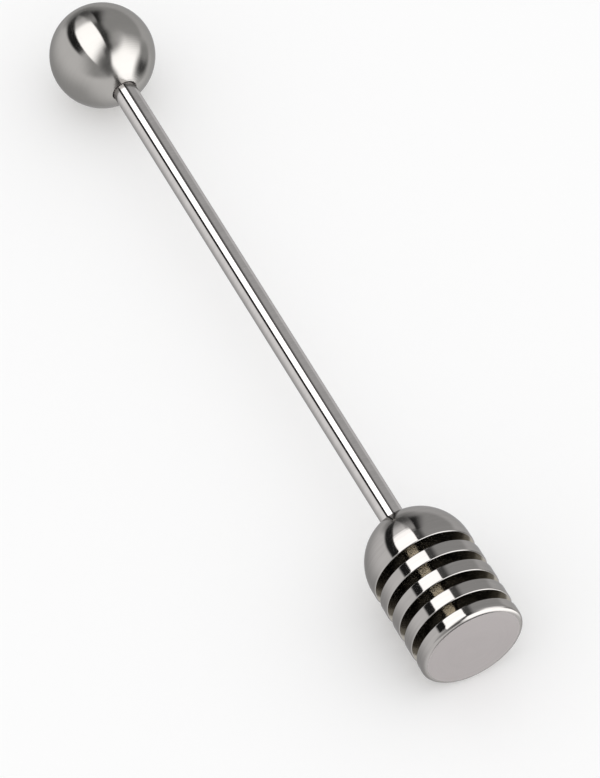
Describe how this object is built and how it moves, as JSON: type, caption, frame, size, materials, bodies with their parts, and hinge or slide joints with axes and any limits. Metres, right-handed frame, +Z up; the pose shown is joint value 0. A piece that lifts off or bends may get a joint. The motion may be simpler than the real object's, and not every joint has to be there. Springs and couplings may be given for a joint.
{
  "type": "honey dipper",
  "caption": "Steel honey dipper with a ball knob, a slim round rod and a domed, grooved head with a flat end, for lifting and drizzling honey.",
  "frame": {"origin": "on the surface that the dipper lies on, below the middle of its length", "axes": "+X along the dipper's axis, from the ball towards the flat end of the head; +Z up"},
  "size_m": [0.16, 0.02, 0.02],
  "materials": {
    "satin_ball": "satin",
    "polished_rod": "polished, with faint lines from drawing",
    "brushed_head": "fine turned lines round the head, matt flat end"
  },
  "bodies": {
    "root": {"ball_knob": "satin_ball", "handle_rod": "polished_rod", "dipper_head": "brushed_head"}
  },
  "joints": []
}
